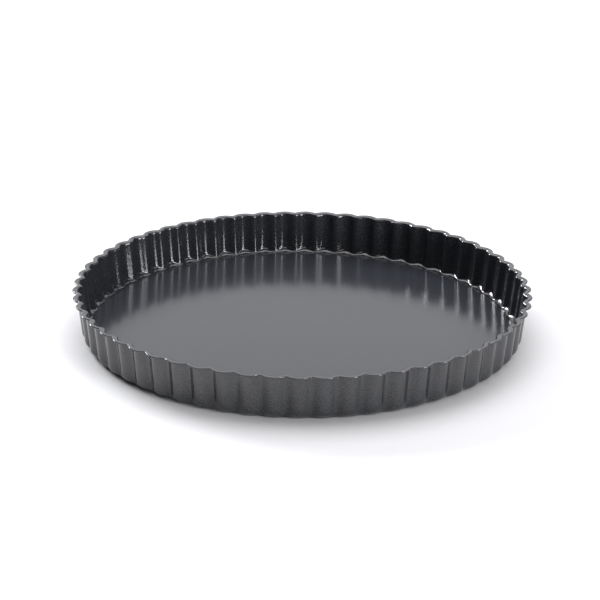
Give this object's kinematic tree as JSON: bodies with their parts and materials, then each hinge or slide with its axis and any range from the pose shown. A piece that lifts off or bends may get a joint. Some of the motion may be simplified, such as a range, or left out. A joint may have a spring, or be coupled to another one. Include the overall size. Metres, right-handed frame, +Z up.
{
  "type": "tart pan",
  "caption": "Round shallow baking pan with a fluted leaning wall, a narrow scalloped lip and a flat base that lifts out of a stepped ledge.",
  "frame": {"origin": "centre of the pan, at the height of the surface that it stands on", "axes": "+Z up along the pan's axis; +X and +Y each run out through the crest of a flute"},
  "size_m": [0.3, 0.3, 0.03],
  "materials": {
    "ring_coating": "satin dark grey non-stick coating on pressed steel",
    "base_coating": "smooth satin dark grey non-stick coating on flat steel"
  },
  "bodies": {
    "ring": {"fluted_ring": "ring_coating"},
    "base": {"loose_base": "base_coating"}
  },
  "joints": [
    {"name": "base_lift", "type": "slide", "parent": "ring", "child": "base", "axis": [0, 0, 1], "range_m": [0, 0.06]}
  ]
}
